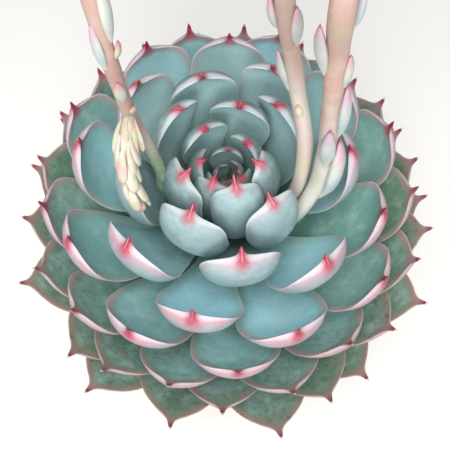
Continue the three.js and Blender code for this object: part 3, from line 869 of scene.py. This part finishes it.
def stem_material():
    n = Nodes("stem", 0.8, 0.25)
    height = n.split(n.position())[2]
    bark = n.mix(n.patches(260, 0.35, 0.65, 4), (124, 106, 84), (160, 142, 116))
    streaks = n.noise(120, 3, vector=n.stretched(1, 1, 0.2))
    bark = n.over(bark, (86, 70, 56), n.fade(streaks, 0.5, 0.7), 0.5)
    green = n.mix(n.patches(200, 0.4, 0.6), (150, 172, 140), (126, 152, 126))
    n.bump(n.noise(700, 4), 0.4, 0.0003)
    return n.finish(n.mix(n.fade(height, 0.086, 0.098), bark, green))


add_piece("bare_stem", stem_mesh(), stem_material(), "stem")


def heart_mesh():
    rows = [(base_radius(HEART_LEAVES - 1) - 0.4, HEART_FOOT)]
    rows += [(base_radius(n) + 0.4, base_height(n) + 0.8) for n in HEART_SEATS]
    angles = -circle(HEART_SIDES)
    points = [(r * math.cos(a), r * math.sin(a), z) for r, z in rows for a in angles]
    points.append((0, 0, base_height(0) + 1.8))
    return make_mesh("growing point", points, ring_faces(len(rows), HEART_SIDES))


def heart_material():
    n = Nodes("growing_point", 0.7, 0.3)
    return n.finish(n.mix(n.patches(500, 0.35, 0.65), (84, 112, 104), (112, 138, 128)))


add_piece("growing_point", heart_mesh(), heart_material(), "heart")


# The youngest leaves of all, bearing and length of each, their width and thickness.
GROWING_POINT = np.array([0, 0, 141])
YOUNGEST = [(281, 13), (144, 12), (7, 11)]
YOUNGEST_SIZE = (3.4, 1)
YOUNGEST_OUT = 0.5
YOUNGEST_LEAN = 0.03


def youngest_material():
    n = Nodes("youngest", 0.6, 0.3)
    along = n.attribute("place")[0]
    body = n.mix(n.patches(500, 0.35, 0.65), (112, 128, 112), (134, 146, 132))
    body = n.over(body, (128, 62, 70), n.fade(along, 0.86, 0.95))
    return n.finish(body)


# Flower stalks: routes as x, y and height against the tip of the heart, radii at the root, on the
# way and at the end, and bracts as place on the stalk, bearing, length, width and lean in degrees.
STALKS = {
    "stalk_left": {
        "route": [
            (-9.2, -1, -23.9), (-12.6, -1.5, -19.2), (-17.2, -2.4, -9), (-17.7, -3.2, 0.6),
            (-17.2, -3.6, 8.4), (-18.8, -1.8, 17.8), (-21.9, 0, 32.3), (-22.2, -1.7, 47.7),
            (-22.3, -2.6, 63.3), (-22.8, -1.2, 76), (-24, 2.5, 92), (-26.5, 7, 102),
            (-30.5, 13, 104), (-33, 18.5, 98), (-34, 21, 89),
        ],
        "thick": (1.25, 1.75, 1.1),
        "bracts": [
            (0.53, 228, 15, 2.8, 0.5), (0.445, 285, 10, 2.6, 1), (0.402, 325, 5, 2.2, 14),
            (0.58, 350, 18, 3.6, 2), (0.55, 350, 6, 2.4, 12), (0.67, 120, 15, 3.6, 5),
        ],
    },
    "stalk_middle": {
        "route": [
            (10, -2.75, -25.4), (13.7, -4, -18.6), (17.6, -5.3, -8.6), (19.8, -4.3, 3.6),
            (20.2, 0.8, 16.6), (17.4, 8.7, 28), (14.3, 10.7, 43.7), (11, 6.5, 66.8), (10.2, 6, 82),
            (10.8, 8, 97), (12.5, 12, 108), (14.5, 18, 110.8), (16, 24, 106), (16.6, 27, 97),
        ],
        "thick": (1.6, 2.2, 1.2),
        "bracts": [
            (0.315, 265, 4.5, 2, 3), (0.36, 185, 16, 4, 3), (0.46, 330, 19, 3.8, 2),
            (0.5, 175, 15, 3.8, 3), (0.6, 30, 16, 3.6, 5),
        ],
    },
    "stalk_right": {
        "route": [
            (10, -6.75, -26.2), (13.8, -8.1, -20.4), (17.4, -9.6, -13.6), (20.8, -9.3, -3.6),
            (24.2, -6.5, 8), (24.8, -4.1, 18), (24, -3.1, 31.2), (22.7, -2, 45.4),
            (21.6, -1.5, 57.3), (19.4, -4.4, 77.6), (19.6, -1, 91), (21.5, 4.5, 102),
            (25.5, 10.5, 107), (30, 16, 104), (32.5, 19.5, 95),
        ],
        "thick": (1.6, 2.5, 1.3),
        "bracts": [
            (0.2, 345, 27, 8, 2), (0.285, 264, 19, 3.8, 3), (0.36, 345, 21, 5, 2),
            (0.48, 340, 12, 3.4, 3), (0.505, 190, 21, 4.6, 4), (0.6, 20, 15, 3.6, 5),
            (0.7, 150, 15, 3.6, 5),
        ],
    },
}
# Rings along a rod and sides of each.
STALK_DETAIL = (120, 28)
SHOOT_DETAIL = (30, 20)
# How full a blade is on the side of its face and on its back, as shares of its thickness.
FACE_FULLNESS = 0.9
BACK_FULLNESS = 0.4
# How far from the stalk's middle a blade's root sits, as a share of its radius.
ROOT_OUT = 0.85
BRACT_THICKNESS = 0.42
# Bracts up to the first length are mostly green, and from the second on they aren't.
GREEN_BRACTS = (9, 13)
MOST_BRACT_GREEN = 0.8
# Buds: where on the stalk they sit, how many, and the size of the first.
BUDS_FROM = 0.86
BUDS_TO = 0.995
BUD_COUNT = 8
BUD_LENGTH = 11
BUD_WIDTH = 0.46
BUD_THICKNESS = 0.25
BUD_RIBS = 0.12
RIB_COUNT = 5
BUD_SHORTENS = 0.4
BUD_SPREAD = 0.7
BUD_DROOP = 0.3

# Side shoot: its route and radius, and the scales on it.
SHOOT_ROUTE = [
    (-21.9, 0, 33.5), (-22.6, -4.5, 34), (-23.2, -9, 28.5), (-22.6, -13.2, 22), (-20.6, -16.4, 15.5),
]
SHOOT_RADIUS = 1.2
SCALE_COUNT = 17
SCALE_LENGTH = 11
SCALE_SHORTENS = 3.5
SCALE_WIDTH = 3
FREE_SCALE_WIDTH = 3.8
SCALE_THICKNESS = 1.1
SCALE_LENGTH_VARIES = (0.85, 1.1)
SCALE_LEAN = (4, 9)
SCALES_FROM = 0.02
SCALES_OVER = 0.72
# Scales that stand off it: place, bearing, lean and length.
FREE_SCALES = [(0.04, 335, 22, 8), (0, 60, 4, 7), (0.2, 345, 15, 8)]


UP = np.array([0, 0, 1])


def unit(v):
    return v / np.linalg.norm(v)


def heading(bearing):
    """The level direction at a bearing in degrees."""
    turn = math.radians(bearing)
    return np.array([math.cos(turn), math.sin(turn), 0])


def spline(route):
    """A smooth curve through a route: its point and direction by share of its length."""
    points = np.array([(x, y, z + HEART_HEIGHT) for x, y, z in route], float)
    points = np.concatenate([[2 * points[0] - points[1]], points, [2 * points[-1] - points[-2]]])
    line = []
    for p0, p1, p2, p3 in zip(points, points[1:], points[2:], points[3:]):
        d0, d1, d2 = (math.sqrt(np.linalg.norm(b - a)) for a, b in ((p0, p1), (p1, p2), (p2, p3)))
        m1 = ((p1 - p0) / d0 - (p2 - p0) / (d0 + d1) + (p2 - p1) / d1) * d1
        m2 = ((p2 - p1) / d1 - (p3 - p1) / (d1 + d2) + (p3 - p2) / d2) * d1
        for t in np.arange(40) / 40:
            line.append(
                (2 * t ** 3 - 3 * t ** 2 + 1) * p1 + (t ** 3 - 2 * t ** 2 + t) * m1
                + (3 * t ** 2 - 2 * t ** 3) * p2 + (t ** 3 - t ** 2) * m2)
    line = np.array(line + [points[-2]])
    steps = lengths_along(line)

    def at(share):
        return np.array([np.interp(share * steps[-1], steps, line[:, i]) for i in range(3)])

    def way(share):
        return unit(at(min(1, share + 0.004)) - at(max(0, share - 0.004)))

    return at, way, steps[-1]


class Shells:
    """Collects closed skins into one mesh, with a three-part value for each ring and tip."""

    def __init__(self):
        self.points, self.faces, self.values = [], [], []

    def add(self, rings, values, tip=None, tip_value=None):
        start = len(self.points)
        size = len(rings[0])
        for ring, value in zip(rings, values):
            self.points += ring
            self.values += [value] * size
        if tip is not None:
            self.points.append(tip)
            self.values.append(tip_value)
        self.faces += ring_faces(len(rings), size, start, tip is not None)

    def mesh(self, name):
        return make_mesh(name, np.array(self.points), self.faces, {"place": np.array(self.values)})


def add_rod(shells, curve, radius_at, steps, sides, kind=0):
    at, way, length = curve
    normal = unit(np.cross(way(0), (0.3, 0.9, 0.1)))
    rings, values = [], []
    for share in np.linspace(0, 1, steps):
        along = way(share)
        normal = unit(normal - along * (normal @ along))
        other = np.cross(along, normal)
        ring = []
        for angle in -circle(sides):
            swell = 0.95 + 0.04 * math.sin(3 * angle + share * 9) + 0.03 * math.sin(share * length / 3.1)
            out = math.cos(angle) * normal + math.sin(angle) * other
            ring.append(at(share) + out * radius_at(share) * swell)
        rings.append(ring)
        values.append((share, kind, 0))
    shells.add(rings, values)


# Width of a blade along its length, as a share of its greatest.
BRACT_SHARE = through([
    (0, 0.14), (0.1, 0.42), (0.28, 0.86), (0.45, 1), (0.62, 0.92), (0.8, 0.6), (0.92, 0.26), (0.97, 0.1),
    (1, 0),
])
BUD_SHARE = through([(0, 0.5), (0.2, 0.86), (0.45, 1), (0.7, 0.88), (0.88, 0.55), (0.96, 0.28), (1, 0)])
SCALE_SHARE = through([(0, 0.08), (0.06, 0.42), (0.3, 0.8), (0.6, 1), (0.82, 0.86), (0.94, 0.5), (1, 0)])


def add_blade(shells, course, axis, face, width, thick, share_at, kind=0, ribs=0, sides=18, rows=22):
    """A fleshy blade along a course that starts along axis, flatter on the side away from face."""
    across = unit(np.cross(axis, face))
    out = unit(np.cross(across, axis))
    rings, values = [], []
    for along in np.linspace(0, 1, rows)[:-1] ** 0.92:
        ring = []
        share = float(share_at(along))
        for angle in -circle(sides):
            x, y = math.cos(angle), math.sin(angle)
            y = y * (FACE_FULLNESS if y > 0 else BACK_FULLNESS) * (1 + ribs * math.cos(RIB_COUNT * angle))
            ring.append(course(along) + across * x * share * width / 2 + out * y * share * thick)
        rings.append(ring)
        values.append((along, kind, 0))
    shells.add(rings, values, course(1), (1, kind, 0))


def straight(root, axis, length):
    return lambda along: root + axis * along * length


def add_blade_on(shells, curve, radius, place, bearing, lean, length, *size, **form):
    """A blade that keeps to its stalk's course and leans away from it by some degrees."""
    at, way, full = curve
    along = way(place)
    toward = heading(bearing)
    face = unit(toward - along * (toward @ along))

    def course(share):
        further = place + share * length / full
        beyond = max(0, further - 1) * full
        out = ROOT_OUT * radius + share * length * math.tan(math.radians(lean))
        return at(min(1, further)) + way(1) * beyond + face * out

    add_blade(shells, course, along, face, *size, **form)


def grow_youngest():
    blades = Shells()
    for bearing, length in YOUNGEST:
        face = heading(bearing)
        axis = unit(UP + YOUNGEST_LEAN * face)
        course = straight(GROWING_POINT + YOUNGEST_OUT * face, axis, length)
        add_blade(blades, course, axis, face, *YOUNGEST_SIZE, BRACT_SHARE)
    add_piece("youngest_leaves", blades.mesh("youngest"), youngest_material(), "heart")


def stalk_material():
    n = Nodes("stalk_skin", 0.6, 0.3)
    share, green, _ = n.attribute("place")
    # Cream low down, dusty peach above.
    high = n.fade(share, 0.28, 0.5)
    cream = n.mix(high, (196, 195, 184), (190, 164, 150))
    rose = n.mix(high, (194, 178, 168), (180, 144, 134))
    body = n.mix(n.fade(n.noise(70, 2, vector=n.stretched(1, 1, 0.3)), 0.4, 0.6), cream, rose)
    # The lowest stretch is green, on the left stalk for longer.
    low = n.fade(n.math("SUBTRACT", share, n.times(green, 0.19)), 0.2, 0.04)
    body = n.over(body, (112, 144, 116), low)
    streaks = n.fade(n.noise(260, 3, vector=n.stretched(1, 1, 0.1)), 0.45, 0.7)
    body = n.over(body, (196, 146, 138), streaks, n.fade(share, 0.2, 0.4, 0, 0.35))
    body = n.over(body, (188, 176, 142), n.patches(110, 0.54, 0.72), 0.45)
    bloom = n.patches(300, 0.45, 0.7, 4)
    body = n.over(body, (206, 198, 192), bloom, 0.25)
    n.bump(n.noise(800), 0.15)
    return n.finish(body)


def bract_material():
    n = Nodes("bract_flesh", 0.6, 0.3)
    along, kind, _ = n.attribute("place")
    body = n.mix(n.patches(140, 0.38, 0.66), (196, 200, 190), (170, 186, 190))
    body = n.over(body, (222, 192, 188), n.patches(230, 0.52, 0.7), 0.4)
    # The short ones are yellow-green.
    body = n.over(body, (192, 190, 156), kind)
    body = n.over(body, (214, 210, 192), n.fade(along, 0.32, 0.08, 0, 0.85))
    wave = n.times(n.noise(400, 2), 0.2)
    start = n.math("SUBTRACT", along, wave)
    pink = n.mix(kind, (196, 146, 166), (188, 104, 118))
    body = n.mix(n.times(n.fade(start, 0.46, 0.8), 0.75), body, pink)
    body = n.over(body, (160, 78, 106), n.fade(along, 0.9, 0.98))
    n.bump(n.noise(900), 0.12)
    return n.finish(body)


def bud_material():
    n = Nodes("bud_flesh", 0.55, 0.4)
    along = n.attribute("place")[0]
    body = n.mix(n.patches(180, 0.38, 0.66), (234, 196, 178), (228, 168, 158))
    body = n.over(body, (204, 206, 180), n.fade(along, 0.35, 0, 0, 0.7))
    body = n.over(body, (222, 132, 128), n.fade(along, 0.7, 0.96))
    n.bump(n.noise(900), 0.12)
    return n.finish(body)


def cream_material():
    n = Nodes("shoot_scales", 0.6, 0.3)
    along = n.attribute("place")[0]
    body = n.mix(n.patches(170, 0.38, 0.62), (190, 184, 170), (174, 162, 142))
    body = n.over(body, (162, 176, 134), n.patches(200, 0.54, 0.66, 2), 0.65)
    streaks = n.noise(240, 2, vector=n.stretched(1.2, 1, 0.4))
    body = n.over(body, (204, 146, 144), n.fade(streaks, 0.54, 0.66), 0.6)
    body = n.over(body, (200, 156, 146), n.fade(along, 0.88, 0.98), 0.5)
    n.bump(n.noise(900), 0.15)
    return n.finish(body)


def grow_stalk(name, form):
    curve = spline(form["route"])
    at, way, _ = curve
    root, middle, end = form["thick"]
    radius_at = through([(0, root), (0.3, middle), (0.7, middle), (1, end)])
    rod, bracts, buds = Shells(), Shells(), Shells()
    add_rod(rod, curve, radius_at, *STALK_DETAIL, kind=1.0 if name == "stalk_left" else 0)
    for place, bearing, length, width, lean in form["bracts"]:
        green = float(np.interp(length, GREEN_BRACTS, (MOST_BRACT_GREEN, 0)))
        add_blade_on(
            bracts, curve, radius_at(place), place, bearing, lean, length, width, BRACT_THICKNESS * width,
            share_at=BRACT_SHARE, kind=green)
    for i in range(BUD_COUNT):
        share = i / (BUD_COUNT - 1)
        place = BUDS_FROM + (BUDS_TO - BUDS_FROM) * share
        along = way(place)
        face = unit(np.cross(along, UP)) * (1 if i % 2 else -1)
        axis = unit(along + BUD_SPREAD * face - BUD_DROOP * UP)
        length = BUD_LENGTH * (1 - BUD_SHORTENS * share)
        add_blade(
            buds, straight(at(place), axis, length), axis, face, BUD_WIDTH * length, BUD_THICKNESS * length,
            BUD_SHARE, ribs=BUD_RIBS)
    for part, shells, material in (("rod", rod, STALK), ("bracts", bracts, BRACT), ("buds", buds, BUD)):
        add_piece(f"{name}_{part}", shells.mesh(part), material, name)


def grow_shoot():
    """The short side shoot in front of the left stalk, clothed in cream scales."""
    curve = spline(SHOOT_ROUTE)
    radius_at = through([(0, SHOOT_RADIUS), (0.5, SHOOT_RADIUS), (1, 1)])
    scales = Shells()
    add_rod(scales, curve, radius_at, *SHOOT_DETAIL)
    placed = []
    for i in range(SCALE_COUNT):
        share = i / (SCALE_COUNT - 1)
        length = chance.uniform(*SCALE_LENGTH_VARIES) * (SCALE_LENGTH - SCALE_SHORTENS * share)
        place, bearing = SCALES_FROM + SCALES_OVER * share, i * DIVERGENCE
        placed.append((place, bearing, chance.uniform(*SCALE_LEAN), length, SCALE_WIDTH))
    placed += [(*scale, FREE_SCALE_WIDTH) for scale in FREE_SCALES]
    for scale in placed:
        add_blade_on(scales, curve, SHOOT_RADIUS, *scale, SCALE_THICKNESS, share_at=SCALE_SHARE)
    add_piece("stalk_left_shoot", scales.mesh("shoot"), cream_material(), "stalk_left")


grow_youngest()
STALK, BRACT, BUD = stalk_material(), bract_material(), bud_material()
for name, form in STALKS.items():
    grow_stalk(name, form)
grow_shoot()


# Floor, in metres
FLOOR_SIZE = 6


def floor_material():
    n = Nodes("floor", 0.8, 0.3)
    return n.finish(n.mix(n.noise(3, 2), (226, 225, 222), (232, 231, 228)))


bpy.ops.mesh.primitive_plane_add(size=FLOOR_SIZE)
floor = bpy.context.object
floor.name = "floor"
floor.data.materials.append(floor_material())
